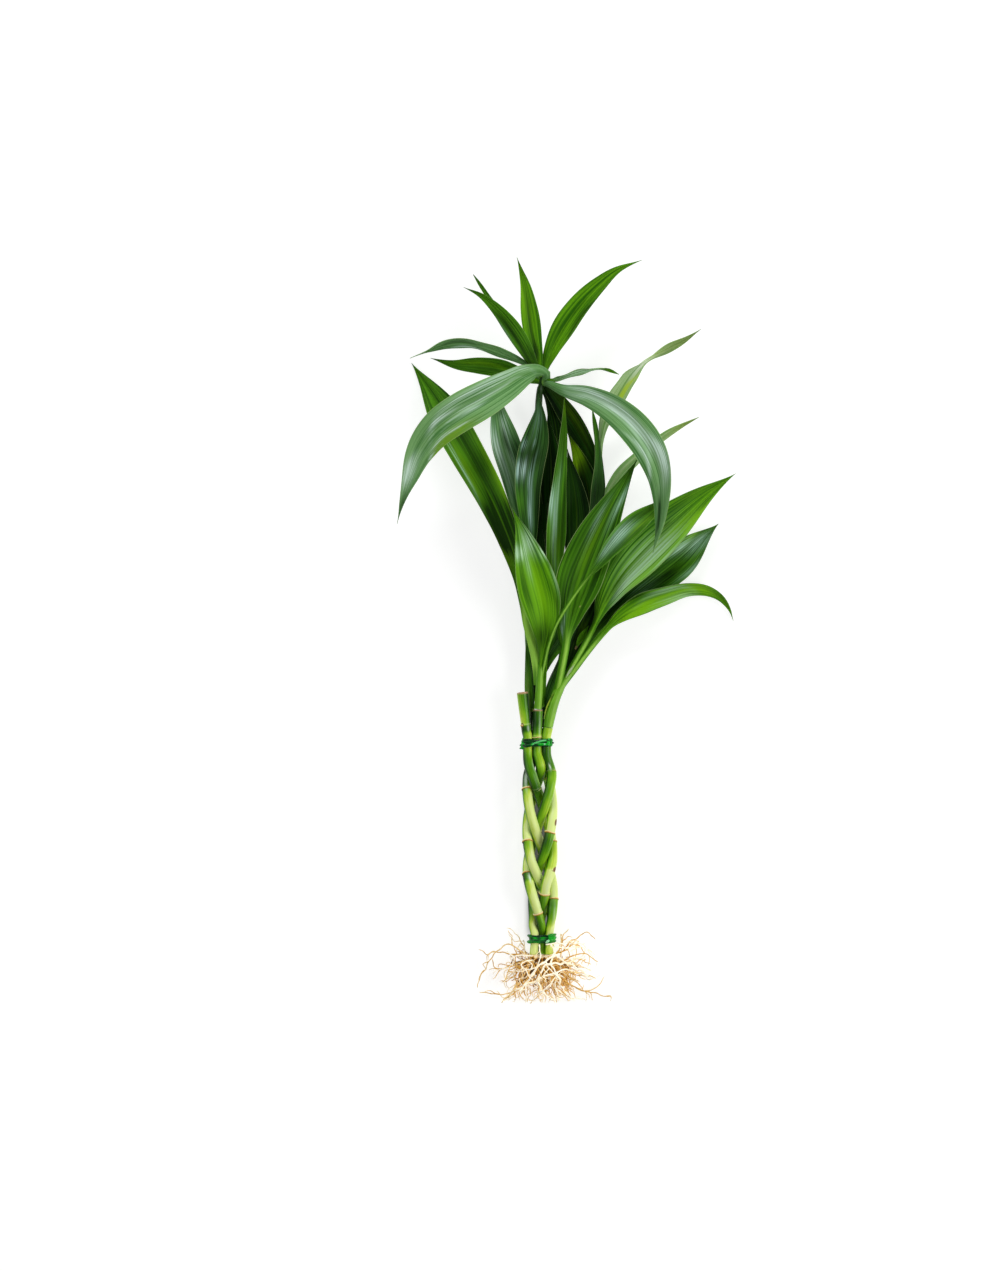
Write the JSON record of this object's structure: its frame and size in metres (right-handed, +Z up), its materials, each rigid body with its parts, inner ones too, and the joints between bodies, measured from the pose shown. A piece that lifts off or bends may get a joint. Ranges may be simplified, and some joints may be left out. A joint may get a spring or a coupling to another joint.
{
  "type": "lucky bamboo",
  "caption": "Rooted lucky bamboo lying down: slim ringed canes plaited into a column, tied near both ends, with leafy shoots spreading past the upper tie and wiry roots below.",
  "frame": {"origin": "the flat underside of the lower tie, which lies on the table", "axes": "+Y runs along the plait from the roots to the leaves, +X is across it and +Z is up from the table"},
  "size_m": [0.204, 0.4481, 0.0545],
  "materials": {
    "cane": "satin",
    "leaf": "satin",
    "root": "matte",
    "tie": "gloss"
  },
  "bodies": {
    "root": {"cane_1": "cane", "cane_2": "cane", "cane_3": "cane", "cane_4": "cane", "cane_5": "cane", "tie_lower": "tie", "tie_upper": "tie", "roots_1": "root", "roots_2": "root", "roots_3": "root", "roots_4": "root", "roots_5": "root", "shoot_1": "leaf", "shoot_2": "leaf", "shoot_3": "leaf", "shoot_4": "leaf", "shoot_5": "leaf"}
  },
  "joints": []
}
